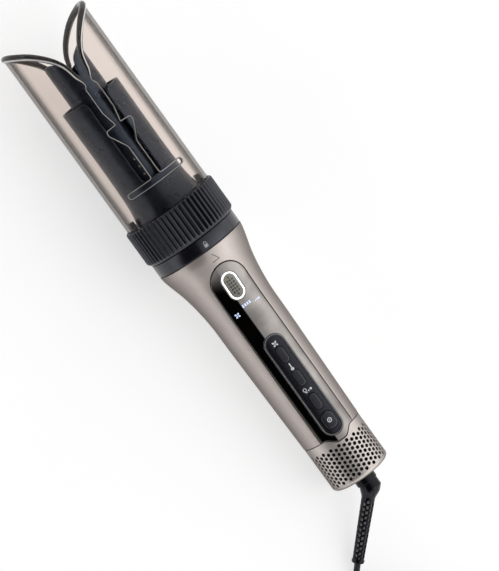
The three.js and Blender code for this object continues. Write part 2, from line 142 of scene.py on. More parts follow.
def add_node(tree, kind, inputs=(), **settings):
    """Adds a node. Its inputs, in order or by name, are values or the outputs of other nodes."""
    node = tree.nodes.new(kind)
    for name, value in settings.items():
        setattr(node, name, value)
    for key, value in inputs.items() if isinstance(inputs, dict) else enumerate(inputs):
        if isinstance(value, bpy.types.NodeSocket):
            tree.links.new(value, node.inputs[key])
        else:
            node.inputs[key].default_value = value
    return node


# ---- light
RIGHT_LIGHT = (0.55, 1.3)  # from overhead to the right
LEFT_LIGHT, FLAG_LIGHT = 1.45, 0.03
BASE_GAIN = 1.9  # how much brighter the right is towards the tool's base
KEY_PLACE, KEY_SIZE, KEY_RADIANCE = Vector((0.9, -0.6, 1.9)), 1.4, 0.5


def lay_sky():
    """A white studio all round, brighter to the tool's right and towards its base, with a dark flag overhead
    to the left that keeps half of the glossy panel black."""
    world = bpy.data.worlds.new("studio")
    world.use_nodes = True
    tree = world.node_tree

    def number(operation, *inputs):
        return add_node(tree, "ShaderNodeMath", inputs, operation=operation).outputs[0]

    def step(value, start, end, low=0.0, high=1.0):
        inputs = (value, start, end, low, high)
        return add_node(tree, "ShaderNodeMapRange", inputs, interpolation_type="SMOOTHSTEP").outputs[0]

    way = add_node(tree, "ShaderNodeTexCoord").outputs["Generated"]
    x, y, z = add_node(tree, "ShaderNodeSeparateXYZ", (way,)).outputs
    angle = number("ARCTAN2", x, z)  # round the tool's axis, from straight up towards its right
    right = number("MULTIPLY", step(angle, -0.16, -0.08), step(angle, -0.1, 1.0, *RIGHT_LIGHT))
    right = number("MULTIPLY", right, step(y, -0.4, 0.12, BASE_GAIN, 0.74))
    left = step(angle, -1.13, -0.95, LEFT_LIGHT, FLAG_LIGHT)
    left = number("MULTIPLY", left, step(y, -0.22, 0.06, 0.15, 1.05))
    left = number("MAXIMUM", left, step(y, -0.85, -0.45, 1.2, 0.0))
    overhead = step(z, 0.25, 0.45)
    above = number("MULTIPLY", number("MAXIMUM", right, left), overhead)
    below = number("MULTIPLY", number("SUBTRACT", 1.0, overhead), LEFT_LIGHT)
    background = tree.nodes["Background"]
    background.inputs["Color"].default_value = (1, 1, 1, 1)
    tree.links.new(number("ADD", above, below), background.inputs["Strength"])
    bpy.context.scene.world = world


lay_sky()
key_lamp = add_object("key_lamp", bpy.data.lights.new("key_lamp", "AREA"))
key_lamp.data.size = KEY_SIZE
key_lamp.data.energy = KEY_RADIANCE * pi * KEY_SIZE**2
key_lamp.visible_glossy = False
aim(key_lamp, KEY_PLACE, Vector((0, 0, 0)), Vector((0, 1, 0.01)))

# ---- materials
FINISHES = {}
COOL_SHEEN = (0.86, 0.88, 1.0, 1)  # the tint of a black plastic's highlights


class Finish:
    """A procedural material. Its patterns are laid out in millimetres."""

    def __init__(self, name, colour, roughness, specular=0.5, metal=0.0):
        FINISHES[name] = self
        self.material = bpy.data.materials.new(name)
        self.material.use_nodes = True
        self.material.diffuse_color = (*colour, 1)
        self.tree = self.material.node_tree
        self.shader = self.tree.nodes["Principled BSDF"]
        self.set("Base Color", (*colour, 1)).set("Roughness", roughness)
        self.set("Metallic", metal).set("Specular IOR Level", specular)
        if max(colour) < 0.03 and not metal:
            self.set("Specular Tint", COOL_SHEEN)
        place = self.add("ShaderNodeTexCoord").outputs["Object"]
        self.place = self.add("ShaderNodeMapping", {"Vector": place, "Scale": (1000, 1000, 1000)}).outputs[0]

    def add(self, kind, inputs=(), **settings):
        return add_node(self.tree, kind, inputs, **settings)

    def set(self, socket, value):
        """Gives one of the shader's inputs a value or joins it to a node's output."""
        if isinstance(value, bpy.types.NodeSocket):
            self.tree.links.new(value, self.shader.inputs[socket])
        else:
            self.shader.inputs[socket].default_value = value
        return self

    def joined(self, socket):
        """The output that an input of the shader is joined to."""
        return self.shader.inputs[socket].links[0].from_socket

    def noise(self, size, detail=3.0, stretch=(1, 1, 1)):
        """Cloudy noise whose lumps are about size across, drawn out along an axis by the stretch."""
        place = self.add("ShaderNodeVectorMath", (self.place, stretch), operation="MULTIPLY").outputs[0]
        inputs = {"Vector": place, "Scale": 1 / size, "Detail": detail}
        return self.add("ShaderNodeTexNoise", inputs).outputs["Fac"]

    def cells(self, size, randomness):
        """Round cells about size across."""
        inputs = {"Vector": self.place, "Scale": 1 / size, "Randomness": randomness}
        return self.add("ShaderNodeTexVoronoi", inputs).outputs["Distance"]

    def spread(self, factor, low, high, start=0.3, end=0.7):
        """A number from low to high as the factor goes from start to end."""
        return self.add("ShaderNodeMapRange", (factor, start, end, low, high)).outputs[0]

    def shades(self, factor, dark, light, start=0.3, end=0.7):
        """The base colour, multiplied by dark to light as the factor goes from start to end."""
        base = self.shader.inputs["Base Color"].default_value[:3]
        ramp = self.add("ShaderNodeValToRGB", {"Fac": factor})
        for stop, position, share in zip(ramp.color_ramp.elements, (start, end), (dark, light)):
            stop.position = position
            stop.color = (*(min(1.0, part * share) for part in base), 1)
        return self.set("Base Color", ramp.outputs["Color"])

    def shaded_along(self, start, end, shade):
        """The base colour is multiplied by the shade where the surface is seen along its slope."""
        facing = self.add("ShaderNodeLayerWeight", {"Blend": 0.5}).outputs["Facing"]
        inputs = {"Factor": self.spread(facing, 0, 1, start, end), "A": self.joined("Base Color"),
                  "B": (shade, shade, shade, 1)}
        mixed = self.add("ShaderNodeMix", inputs, data_type="RGBA", blend_type="MULTIPLY")
        return self.set("Base Color", mixed.outputs["Result"])

    def rough(self, factor, low, high, start=0.3, end=0.7):
        return self.set("Roughness", self.spread(factor, low, high, start, end))

    def bump(self, factor, depth, strength=1.0):
        """Relief of the given depth, over any that is there already."""
        inputs = {"Strength": strength, "Distance": depth * MM, "Height": factor}
        if self.shader.inputs["Normal"].is_linked:
            inputs["Normal"] = self.joined("Normal")
        return self.set("Normal", self.add("ShaderNodeBump", inputs).outputs["Normal"])


def moulded(name, colour, roughness, grain=0.35, depth=0.02, specular=0.5):
    """Moulded plastic or rubber: a fine spark-eroded grain, faint mottling and handling marks."""
    made = Finish(name, colour, roughness, specular)
    made.shades(made.noise(9, 4), 0.82, 1.18)
    made.rough(made.noise(3.5, 5), roughness * 0.85, roughness * 1.2)
    made.bump(made.noise(grain, 2), depth, 0.6)


def lacquered(name, colour, roughness=0.04, specular=0.8, metal=0.0):
    """High-gloss plastic with a clear top coat and hair-fine wipe marks."""
    made = Finish(name, colour, roughness, specular, metal)
    made.shades(made.noise(14, 3), 0.8, 1.25)
    made.rough(made.noise(1.1, 6, (1, 6, 1)), roughness, roughness * 2.2, 0.45, 0.8)
    made.bump(made.noise(24, 1), 0.02, 0.25)


def metallic(name, colour, roughness, flake=0.12, metal=0.8):
    """Satin metallic paint or bare metal: bright and dark flakes, and soft clouds in the sheen."""
    made = Finish(name, colour, roughness, metal=metal).set("Specular Tint", (0.3, 0.29, 0.28, 1))
    # its colour darkens where it is seen along its slope: painted shade at its edges; on metallic paint it is
    # partly the real flop
    made.shades(made.noise(flake, 2), 0.86, 1.12, 0.35, 0.65).shaded_along(0.28, 0.55, 0.72)
    made.rough(made.noise(7, 4), roughness * 0.9, roughness * 1.12)
    made.bump(made.noise(flake, 1), 0.004, 0.5)


def clear_smoke(name, tint, roughness, edge, ior):
    """Smoke-tinted clear plastic, much darker where it is seen along its wall: painted shade for its dark
    edges, partly the real deeper tint of the longer path. Lamps shine through it on to what stands behind."""
    made = Finish(name, tint, roughness).set("Transmission Weight", 1.0).set("IOR", ior)
    made.rough(made.noise(5, 5, (1, 1, 0.4)), roughness, roughness + 0.02, 0.4, 0.8)
    made.shades(made.noise(30, 2), 0.98, 1.01).shaded_along(0.42, 0.6, edge)
    passed = (*(sqrt(part) * 0.98 for part in tint), 1)
    through = made.add("ShaderNodeBsdfTransparent", {"Color": passed}).outputs[0]
    shadow = made.add("ShaderNodeLightPath").outputs["Is Shadow Ray"]
    mix = made.add("ShaderNodeMixShader", (shadow, made.shader.outputs["BSDF"], through))
    made.tree.links.new(mix.outputs[0], made.tree.nodes["Material Output"].inputs["Surface"])


def lit(name, colour, strength, grain=1.4):
    """A lamp's diffuser: it glows, a little brighter over each light source behind it."""
    made = Finish(name, colour, 0.35).set("Emission Color", (*colour, 1))
    made.set("Emission Strength", made.spread(made.noise(grain, 2), strength * 0.85, strength * 1.1))
    made.rough(made.noise(2, 3), 0.3, 0.45)
    made.bump(made.noise(0.5, 2), 0.01, 0.4)


# Each finish's name, colour and roughness, and then what its kind asks for
KINDS = {
    clear_smoke: [
        ("smoke_clear", (0.89, 0.835, 0.80), 0.012, 0.2, 1.1),
        # the edge's near-black tint is partly the real deeper tint of the thick bead and partly painted shade
        ("smoke_edge", (0.05, 0.046, 0.044), 0.05, 0.5, 1.3),
    ],
    moulded: [
        # painted highlight: an opaque pale grey for one strip along the shroud's edge
        ("smoke_cut", (0.54, 0.52, 0.51), 0.3, 0.3, 0.004),
        ("barrel_black", (0.006, 0.008, 0.013), 0.3, 0.8, 0.0005, 0.6),
        ("ribbed_black", (0.004, 0.004, 0.006), 0.3, 0.3, 0.006, 0.55),
        ("bezel_grey", (0.006, 0.006, 0.008), 0.26, 0.3, 0.004, 0.3),
        # painted highlight: the pale line round the bezel's edge
        ("bezel_rim", (0.20, 0.20, 0.205), 0.25, 0.3, 0.004),
        ("button_black", (0.004, 0.004, 0.005), 0.2, 0.25, 0.003, 0.4),
        ("sleeve_black", (0.003, 0.003, 0.004), 0.12, 0.3, 0.002, 0.25),
        # painted highlight: the pockets' floors in lighter grey, where they would catch the light
        ("pocket_grey", (0.15, 0.15, 0.155), 0.3, 0.3, 0.004),
        ("cord_black", (0.012, 0.012, 0.014), 0.55, 0.25),
        ("plug_black", (0.010, 0.010, 0.011), 0.5, 0.4, 0.03),
        ("pin_sleeve", (0.012, 0.012, 0.013), 0.45),
        ("tie_black", (0.014, 0.014, 0.015), 0.8, 0.5, 0.06),
        ("print_white", (0.62, 0.63, 0.66), 0.5, 0.2, 0.005),
        ("print_grey", (0.36, 0.36, 0.38), 0.5, 0.2, 0.005),
        # painted shade: the dark sides of the engraved fit mark
        ("print_dark", (0.05, 0.048, 0.048), 0.5, 0.2, 0.005),
        ("window_dot", (0.015, 0.015, 0.02), 0.4),
        ("inner_resin", (0.70, 0.65, 0.55), 0.5, 0.5),
        ("mica", (0.55, 0.45, 0.28), 0.55, 1.2, 0.05),
        ("seal_rubber", (0.02, 0.02, 0.02), 0.75, 0.4, 0.03),
        ("board_green", (0.02, 0.12, 0.06), 0.4, 1.5, 0.03),
        ("lead_red", (0.35, 0.03, 0.02), 0.4, 0.3),
        ("lead_blue", (0.03, 0.08, 0.25), 0.4, 0.3),
    ],
    lacquered: [
        ("gloss_black", (0.004, 0.004, 0.006)),
        ("piano_panel", (0.21, 0.195, 0.185), 0.035, 1.0, 1.0),
        ("collar_black", (0.004, 0.004, 0.006), 0.17, 0.6),
        ("neck_black", (0.003, 0.003, 0.004), 0.14, 0.16),
        ("window_glass", (0.15, 0.145, 0.11), 0.05),
    ],
    metallic: [
        ("champagne", (0.42, 0.375, 0.355), 0.36),
        ("grille_metal", (0.52, 0.475, 0.45), 0.45, 0.1, 0.9),
        ("pin_nickel", (0.62, 0.60, 0.56), 0.2, 0.3, 1.0),
        ("inner_steel", (0.50, 0.50, 0.51), 0.3, 0.3, 1.0),
        ("filter_steel", (0.03, 0.03, 0.032), 0.45, 0.3, 0.8),
        ("contact_brass", (0.62, 0.45, 0.18), 0.28, 0.3, 1.0),
    ],
    lit: [
        ("light_white", (0.93, 0.96, 1.0), 0.95),
        ("icon_white", (0.62, 0.74, 1.0), 0.3, 0.5),
    ],
}
for kind, rows in KINDS.items():
    for row in rows:
        kind(*row)
FINISHES["barrel_black"].set("Specular Tint", (0.7, 0.82, 1.0, 1))
# Braid, hook tape and mesh: the cells' size and randomness, and how deep and how strong their relief is
WOVEN = {
    "cord_black": (0.7, 0.2, 0.04, 0.5),
    "tie_black": (0.45, 1.0, 0.15, 0.8),
    "filter_steel": (0.5, 0.1, 0.1, 0.8),
}
for name, (size, randomness, depth, strength) in WOVEN.items():
    FINISHES[name].bump(FINISHES[name].cells(size, randomness), depth, strength)


# ---- mesh making
class Shape:
    """A piece's corners, faces, shading normals and finishes while it is built."""

    def __init__(self):
        self.points, self.normals, self.faces, self.finishes = [], [], [], []

    def add(self, points, faces, normals=None, finish=0):
        start = len(self.points)
        self.points.extend(tuple(map(float, p)) for p in points)
        self.normals.extend(map(tuple, points if normals is None else normals))
        self.faces.extend(tuple(int(i) + start for i in face) for face in faces)
        self.finishes.extend([finish] * len(faces))
        return self


def piece(name, shape, finishes, body, slot, *nodes, place=TO_ROOM, crease=None):
    """Makes the object in the named finishes, hangs it on its body and lets it stand for its CAD nodes."""
    mesh = bpy.data.meshes.new(name)
    mesh.from_pydata(shape.points, [], shape.faces)
    mesh.polygons.foreach_set("material_index", shape.finishes)
    mesh.polygons.foreach_set("use_smooth", [True] * len(shape.faces))
    mesh.transform(place)
    if crease is None:
        turn = place.to_3x3().normalized()
        mesh.normals_split_custom_set_from_vertices([(turn @ Vector(n)).normalized() for n in shape.normals])
    else:
        mesh.set_sharp_from_angle(angle=radians(crease))
    for finish in finishes.split():
        mesh.materials.append(FINISHES[finish].material)
    return hung(add_object(name, mesh), body, slot, *nodes)


def hung(made, body, slot, *nodes):
    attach(made, body)
    if nodes:
        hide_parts(*nodes)
    return made


def grid_faces(rows, columns, closed=False, looped=False):
    """Quads of a grid whose corners are listed row by row. It may close across, and up."""
    total = rows * columns
    return [(r * columns + c, r * columns + (c + 1) % columns,
             ((r + 1) * columns + (c + 1) % columns) % total, ((r + 1) * columns + c) % total)
            for r in range(rows if looped else rows - 1) for c in range(columns if closed else columns - 1)]


def unit(ways):
    return ways / np.maximum(np.linalg.norm(ways, axis=-1, keepdims=True), 1e-9)


def rounded(points, step=0.35):
    """A line through the points, given as (x, station, corner radius), with its corners rounded."""
    line = [points[0][:2]]
    for before, (x, z, radius), after in zip(points, points[1:-1], points[2:]):
        corner = Vector((x, z))
        ways = [Vector(p[:2]) - corner for p in (before, after)]
        half = ways[0].angle(ways[1]) / 2
        if radius <= 0 or half > radians(89):
            line.append((x, z))
            continue
        run = min(radius / tan(half), *(0.49 * way.length for way in ways))
        radius = run * tan(half)
        ways = [way.normalized() for way in ways]
        centre = corner + (ways[0] + ways[1]).normalized() * (radius / sin(half))
        start, end = corner + ways[0] * run - centre, corner + ways[1] * run - centre
        sweep = end.angle_signed(start)
        count = max(3, ceil(abs(sweep) * radius / step))
        for i in range(count + 1):
            turn = Matrix.Rotation(sweep * i / count, 2)
            line.append(tuple(centre + turn @ start))
    return line + [points[-1][:2]]


# A smooth line blends its four nearest points over these pairs of knots, level by level
BLENDS = (((0, 1), (1, 2), (2, 3)), ((0, 2), (1, 3)), ((1, 2),))


def smoothed(points, steps=8):
    """A smooth line through the points."""
    points = [np.array(p, float) for p in points]
    padded = [2 * points[0] - points[1], *points, 2 * points[-1] - points[-2]]
    line = []
    for near in zip(padded, padded[1:], padded[2:], padded[3:]):
        knots = np.cumsum([0.0] + [np.linalg.norm(q - p) ** 0.5 for p, q in zip(near, near[1:])])
        for t in np.linspace(knots[1], knots[2], steps, endpoint=False):
            level = near
            for pairs in BLENDS:
                level = [((knots[j] - t) * p + (t - knots[i]) * q) / (knots[j] - knots[i])
                         for (i, j), p, q in zip(pairs, level, level[1:])]
            line.append(level[0])
    return np.array([*line, points[-1]])


def filled(line, step):
    """The line with points added so that no stretch is longer than step."""
    line = [np.array(p, float) for p in line]
    out = [line[0]]
    for start, end in zip(line, line[1:]):
        length = float(np.linalg.norm(end - start))
        if length < 1e-6:
            continue
        count = max(1, ceil(length / step))
        out.extend(start + (end - start) * i / count for i in range(1, count + 1))
    return np.array(out)


def inside(points, loops):
    """Whether each point lies within the loops, by counting the edges to its right."""
    starts = np.concatenate(loops)
    ends = np.concatenate([np.roll(loop, -1, 0) for loop in loops])
    result = np.zeros(len(points), bool)
    for first in range(0, len(points), 2000):
        x, y = points[first:first + 2000].T[:, :, None]
        crosses = (starts[:, 1] > y) != (ends[:, 1] > y)
        rise = np.where(ends[:, 1] == starts[:, 1], 1e-12, ends[:, 1] - starts[:, 1])
        at = starts[:, 0] + (y - starts[:, 1]) / rise * (ends[:, 0] - starts[:, 0])
        result[first:first + 2000] = (crosses & (x < at)).sum(1) % 2 == 1
    return result


def rim_profile(size, half, steps):
    """Round a sheet's edge, from its outer to its inner face: inset, height, and the normal's two parts.
    A size up to half rounds the edge's corners, and a larger one gives it a bead."""
    if size <= half:
        turn = np.linspace(0, pi / 2, steps + 1)
        across, out = np.sin(turn), np.cos(turn)
        outer = np.stack([size - size * across, half - size + size * out, across, out], 1)
    else:
        turn = np.linspace(pi - asin(half / size), 0.06, steps + 1)
        outer = np.stack([size - size * np.cos(turn), size * np.sin(turn), np.cos(turn), np.sin(turn)], 1)
    return np.concatenate([outer, outer[::-1] * (1, -1, 1, -1)])


def spot(angle, station, radius):
    """Places at angles and stations on a turned surface."""
    return np.stack([radius * np.sin(angle), -radius * np.cos(angle), station + 0 * angle], -1)


def sheet(shape, side, outer, inner, loops=(), edges=None, rim=0.3, steps=3, across=4.0, up=4.0,
          finish=0, rim_finish=None):
    """Adds a curved sheet with rounded edges that follows a turned side between the offsets inner and outer.
    Its loops of (angle, station) are its outline and the holes in it. Right round the tool it has edges in
    place of an outline: a low one from -180 to 180 degrees and a high one that runs back. Its columns are
    across degrees apart, and its rows up."""
    half, middle = (outer - inner) / 2, (outer + inner) / 2
    runs = [np.array(edge, float) for edge in edges or ()]
    for i, loop in enumerate(loops):
        loop = np.array(loop, float)
        loop = loop[:-1] if np.allclose(loop[0], loop[-1]) else loop
        x, y = loop.T
        winding = np.sum(x * np.roll(y, -1) - y * np.roll(x, -1))
        outermost = i == 0 and edges is None
        runs.append(loop if (winding > 0) == outermost else loop[::-1])
    scale = float(side(np.mean(runs[0][:, 1]))) + outer
    flat_runs = []
    for i, run in enumerate(runs):
        closed = edges is None or i > 1
        before, after = np.roll(run, 1, 0), np.roll(run, -1, 0)
        if not closed:
            whole = run[-1] - run[0]
            before[0], after[-1] = run[-2] - whole, run[1] + whole
        radius = np.array(side(run[:, 1])) + middle
        stretch = np.stack([radius, np.ones(len(run))], 1)
        way = unit(unit((run - before) * stretch) + unit((after - run) * stretch))
        along, rise = way.T[:, :, None]
        profiles = np.array([rim_profile(rim(*p) if callable(rim) else rim, half, steps) for p in run])
        inset, height, level, out = np.moveaxis(profiles, 2, 0)
        angle = run[:, :1] - rise * inset / radius[:, None]
        station = run[:, 1:] + along * inset
        flat_runs.append(np.stack([angle[:, 0] * scale, station[:, 0]], 1))
        places = spot(angle, station, side(station) + middle + height)
        normals = spot(angle, -along * level, out) + spot(angle + pi / 2, 0, rise * level)
        shape.add(places.reshape(-1, 3), grid_faces(*inset.shape, looped=closed), normals.reshape(-1, 3),
                  finish if rim_finish is None else rim_finish)

    polygons = flat_runs
    if edges is not None:
        low, high, *holes = flat_runs
        seams = [filled([a[-1], b[0]], up)[1:-1] for a, b in ((low, high), (high, low))]
        polygons = [np.concatenate([low, seams[0], high, seams[1]]), *holes]
    border = np.concatenate(polygons)
    links = []
    for polygon in polygons:
        first, count = len(links), len(polygon)
        links += [(first + i, first + (i + 1) % count) for i in range(count)]
    tree = KDTree(len(border))
    for i, (u, z) in enumerate(border):
        tree.insert((u, z, 0), i)
    tree.balance()
    spacing = radians(across) * scale, up
    us, zs = (np.arange(ceil(line.min() / gap), floor(line.max() / gap) + 1) * gap
              for line, gap in zip(border.T, spacing))
    field = np.array([(u, z) for z in zs for u in us]).reshape(-1, 2)
    clear = 0.4 * min(spacing)
    field = [p for p in field[inside(field, polygons)] if tree.find((*p, 0))[2] > clear]
    flat = [Vector(p) for p in [*border, *field]]
    found, _, triangles, _, _, _ = delaunay_2d_cdt(flat, links, [], 0, 1e-5)
    found, triangles = np.array([tuple(p) for p in found]), np.array(triangles)
    triangles = triangles[inside(found[triangles].mean(1), polygons)]
    a, b, c = (found[triangles[:, k]] for k in range(3))
    area = (b[:, 0] - a[:, 0]) * (c[:, 1] - a[:, 1]) - (b[:, 1] - a[:, 1]) * (c[:, 0] - a[:, 0])
    triangles = np.where(area[:, None] > 0, triangles, triangles[:, ::-1])[np.abs(area) > 1e-7]
    angle, station = found[:, 0] / scale, found[:, 1]
    slope = (side(station + 0.25) - side(station - 0.25)) / 0.5
    normals, radius = unit(spot(angle, -slope, 1)), side(station)
    shape.add(spot(angle, station, radius + outer), triangles, normals, finish)
    return shape.add(spot(angle, station, radius + inner), triangles[:, ::-1], -normals, finish)


def on_front(line, side, offset=0.0):
    """A line drawn in x and station, as angles and stations on the controls' side."""
    line = np.array(line, float)
    ratio = np.clip(line[:, 0] / (side(line[:, 1]) + offset), -1, 1)
    return np.stack([np.arcsin(ratio), line[:, 1]], 1)


SMOOTH_BELOW = cos(radians(35))  # a turned piece's corners that are flatter than this look smooth


def turned(shape, profile, sides):
    """Adds a piece turned about the axis from a closed (radius, station) outline that runs anticlockwise."""
    profile = np.array(profile, float)
    ways = np.roll(profile, -1, 0) - profile
    outs = unit(np.stack([ways[:, 1], -ways[:, 0]], 1))
    turn = np.linspace(0, FULL, sides + 1)
    for i, out in enumerate(outs):
        after = (i + 1) % len(outs)
        places, normals = [], []
        for (radius, station), other in ((profile[i], outs[i - 1]), (profile[after], outs[after])):
            level, rise = unit(out + other if out @ other > SMOOTH_BELOW else out)
            places.extend(spot(turn, station, radius))
            normals.extend(spot(turn, rise, level))
        shape.add(places, grid_faces(2, sides + 1), normals)
    return shape


def lofted(rings, ends=(), looped=False):
    """Rings with as many points each, closed by fans round two end points or looped to the start."""
    rows, count = len(rings), len(rings[0])
    last, middle = (rows - 1) * count, rows * count
    faces = grid_faces(rows, count, closed=True, looped=looped)
    for i in range(count if ends else 0):
        faces += [(middle, (i + 1) % count, i), (middle + 1, last + i, last + (i + 1) % count)]
    return Shape().add([*np.concatenate(rings), *ends], faces)


def arc(x, z, radius, start, end, count=6):
    """Points on an arc, from one angle to another in degrees."""
    return [(x + radius * cos(a), z + radius * sin(a))
            for a in np.radians(np.linspace(start, end, count + 1))]


def circle(x, z, radius, count=20):
    return arc(x, z, radius, 0, 360, count)[:-1]


def stadium(width, height, middle, grown=0.0):
    """A slot's outline with round ends, in x and station."""
    radius, rise = width / 2 + grown, (height - width) / 2
    return [*arc(0, middle - rise, radius, 180, 360, 18), *arc(0, middle + rise, radius, 0, 180, 18)]


def rounded_block(width, height, corner, middle, grown=0.0, x=0.0, count=6):
    """The outline of a block with rounded corners."""
    w, h = width / 2 - corner, height / 2 - corner
    return [point for i, (u, v) in enumerate(((w, -h), (w, h), (-w, h), (-w, -h)))
            for point in arc(x + u, middle + v, corner + grown, 90 * i - 90, 90 * i, count)]


def ease(t):
    """From 0 to 1 and level at both ends."""
    t = min(1.0, max(0.0, t))
    return t * t * (3 - 2 * t)


def both_sides(half):
    """The whole of an edge from its half, which runs from the front's middle to the back's."""
    half = np.array(half)
    return np.concatenate([half[::-1], half[1:] * (-1, 1)])


def round_the_back(low):
    """A level edge right round the tool."""
    return [(turn, low) for turn in np.radians(np.arange(-180, 181, 4))]


def stations_along(line):
    """How far along a line each of its points lies."""
    return np.concatenate([[0], np.cumsum(np.linalg.norm(np.diff(line, axis=0), axis=1))])


# ---- floor
FLOOR_HALF, FLOOR_ROW = 3.0, 13
spots = np.linspace(-FLOOR_HALF, FLOOR_HALF, FLOOR_ROW)
floor_mesh = bpy.data.meshes.new("floor")
floor_mesh.from_pydata([(x, y, 0) for y in spots for x in spots], [], grid_faces(FLOOR_ROW, FLOOR_ROW))
pale_floor = Finish("pale_floor", (0.45, 0.45, 0.45), 0.6)
pale_floor.shades(pale_floor.noise(220, 4), 0.978, 1.022).rough(pale_floor.noise(40, 4), 0.55, 0.65)
pale_floor.set("Emission Color", (1, 1, 1, 1)).set("Emission Strength", 0.62)
pale_floor.material.cycles.emission_sampling = "NONE"
floor_mesh.materials.append(pale_floor.material)
add_object("floor", floor_mesh)

# ---- cord
# The route repeats the CAD's: out of the neck, to the tool's left and down to the surface, then to a coil.
CORD = 4.0
LEAD_ROUTE = [
    (0, -168.4, 19.04), (0, -169.2, 18.98), (-0.75, -171.1, 18.75), (-3.1, -174.2, 17.6),
    (-6.1, -177.5, 16.35), (-13.6, -185.5, 13.3), (-22.5, -195, 9.6), (-32.4, -205.6, 5.5),
    (-35.7, -209.3, 4.2), (-39, -213.1, 3.05), (-42.3, -216.9, 2.3), (-47.3, -222.9, 2.02),
]
RELIEF_POINTS, RELIEF_LAP = 8, 6  # the route's points up to the sleeve's end, and its overlap in the elbow
TAIL_ROUTE = [
    (-25.7, -287.7, 13.3), (-20.1, -292.5, 10.9), (-16.6, -298.4, 8.7), (-15.1, -304.3, 7.4),
    (-15, -309.5, 7),
]
coil_low, coil_high = (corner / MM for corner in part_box("cord_coil"))
COIL_MIDDLE = (coil_low + coil_high) / 2
COIL_OUTER = (coil_high.x - coil_low.x) / 2 - CORD / 2
LAYERS = 4
TURNS_A_LAYER = 3
COIL_START, COIL_END = 140.0, 270.0  # degrees round the coil, anticlockwise, where the lead joins and leaves
CLIMB = ((COIL_END - COIL_START) / 360) / (LAYERS - 1)  # turns over which the cord steps up a layer


def coil_points(a_turn=28):
    """The cord's turns: each layer winds in or out by a cord's width a turn, then steps up to the next."""
    inner = COIL_OUTER - TURNS_A_LAYER * CORD
    whole = LAYERS * TURNS_A_LAYER + (LAYERS - 1) * CLIMB
    line = []
    for i in range(ceil(whole * a_turn) + 1):
        turn = min(i / a_turn, whole)
        layer = min(int(turn // (TURNS_A_LAYER + CLIMB)), LAYERS - 1)
        along = turn - layer * (TURNS_A_LAYER + CLIMB)
        wound = min(along, TURNS_A_LAYER) * CORD
        radius = COIL_OUTER - wound if layer % 2 == 0 else inner + wound
        rise = (along - TURNS_A_LAYER) / CLIMB
        height = coil_low.z + CORD * (0.5 + layer + ease(rise))
        angle = radians(COIL_START) + FULL * turn
        x, y = radius * cos(angle), radius * sin(angle)
        line.append((COIL_MIDDLE.x + x, COIL_MIDDLE.y + y, height))
    return line


def make_cord():
    """One open line from the neck, through the coil, to the plug."""
    coil = coil_points()
    lead = smoothed([tuple(exit_point / MM), *LEAD_ROUTE, coil[0], coil[1]], 6)[:-7]
    tail = smoothed([coil[-2], coil[-1], *TAIL_ROUTE], 5)[6:]
    line = [*lead, *coil, *tail]
    data = bpy.data.curves.new("mains_cord", "CURVE")
    data.dimensions = "3D"
    data.bevel_depth = CORD / 2 * MM
    data.bevel_resolution = 5
    data.use_fill_caps = True
    spline = data.splines.new("POLY")
    spline.points.add(len(line) - 1)
    for point, place in zip(spline.points, line):
        point.co = (*(Vector(place) * MM), 1)
    spline.use_smooth = True
    data.materials.append(FINISHES["cord_black"].material)
    stands_for = "cord_lead", "cord_coil", "cord_tail"
    return hung(add_object("mains_cord", data), "cord_set", "cord_black", *stands_for)


def swept(line, radius):
    """A round bar along a line, closed at both ends. radius(turn, distance) gives its surface."""
    line = np.array(line, float)
    up = np.array([0.0, 0.0, 1.0])
    turn = np.arange(RELIEF_SIDES) * FULL / RELIEF_SIDES
    rings = []
    for place, way, gone in zip(line, unit(np.gradient(line, axis=0)), stations_along(line)):
        up = unit(up - way * (up @ way))
        around = np.outer(np.cos(turn), up) + np.outer(np.sin(turn), np.cross(way, up))
        rings.append(place + around * np.array([radius(t, gone) for t in turn])[:, None])
    shape = lofted(rings, [line[0], line[-1]])
    shape.faces = [face[::-1] for face in shape.faces]
    return shape


# The strain relief: an elbow whose two arms meet at a mitre, then a slim sleeve with staggered pockets and
# a small end collar.
ELBOW = Vector((0, -170.9, 18.87))  # where the neck's axis and the sleeve's meet
ELBOW_RADIUS, SLEEVE_START, SLEEVE_END = 6.3, 4.2, 3.55
ELBOW_LENGTH = 8.5
RELIEF_SIDES, RELIEF_STEP = 96, 0.27
COLLAR_LONG, COLLAR_PROUD = 1.9, 0.4
COLUMNS, PITCH = 8, 3.3
POCKET_LONG, POCKET_WIDE, POCKET_DEEP, POCKET_ROWS = 2.0, 0.66, 1.0, 12  # wide is a share of a column
POCKET_START, POCKET_CLEAR = 1.6, 2.6  # from the elbow, and from the sleeve's end


def pocket(turn, gone, total):
    """How far a place on the lower arm is sunk into one of its staggered pockets: 0 to 1."""
    column = round(turn / FULL * COLUMNS)
    aside = abs(turn / FULL * COLUMNS - column) * 2
    start = ELBOW_LENGTH + POCKET_START + column % 2 * PITCH / 2
    row = floor((gone - start) / PITCH + 0.5)
    if not 0 <= row < POCKET_ROWS or total - gone <= POCKET_CLEAR:
        return 0
    off = abs(gone - start - row * PITCH) - POCKET_LONG / 2
    return ease(-off / 0.3 + 0.5) * ease((POCKET_WIDE - aside) / 0.2 + 0.5)


def relief_radius(turn, gone, total):
    """The lower arm's radius round the turn and along from the mitre."""
    sleeve = SLEEVE_START + (SLEEVE_END - SLEEVE_START) * max(0, gone - ELBOW_LENGTH) / (total - ELBOW_LENGTH)
    body = sleeve + (ELBOW_RADIUS - sleeve) * (1 - ease((gone - 1.0) / (ELBOW_LENGTH - 1.0)))
    left = total - gone  # a small collar ends the sleeve, with its edge broken
    if left < COLLAR_LONG:
        body += min(COLLAR_PROUD, left)
    return body - POCKET_DEEP * pocket(turn, gone, total)


def onto_plane(points, way, plane):
    """Slides the points that lie beyond a plane back to it along a way."""
    return [p - way * max(0.0, (p - ELBOW) @ plane) / (way @ plane) for p in map(Vector, points)]


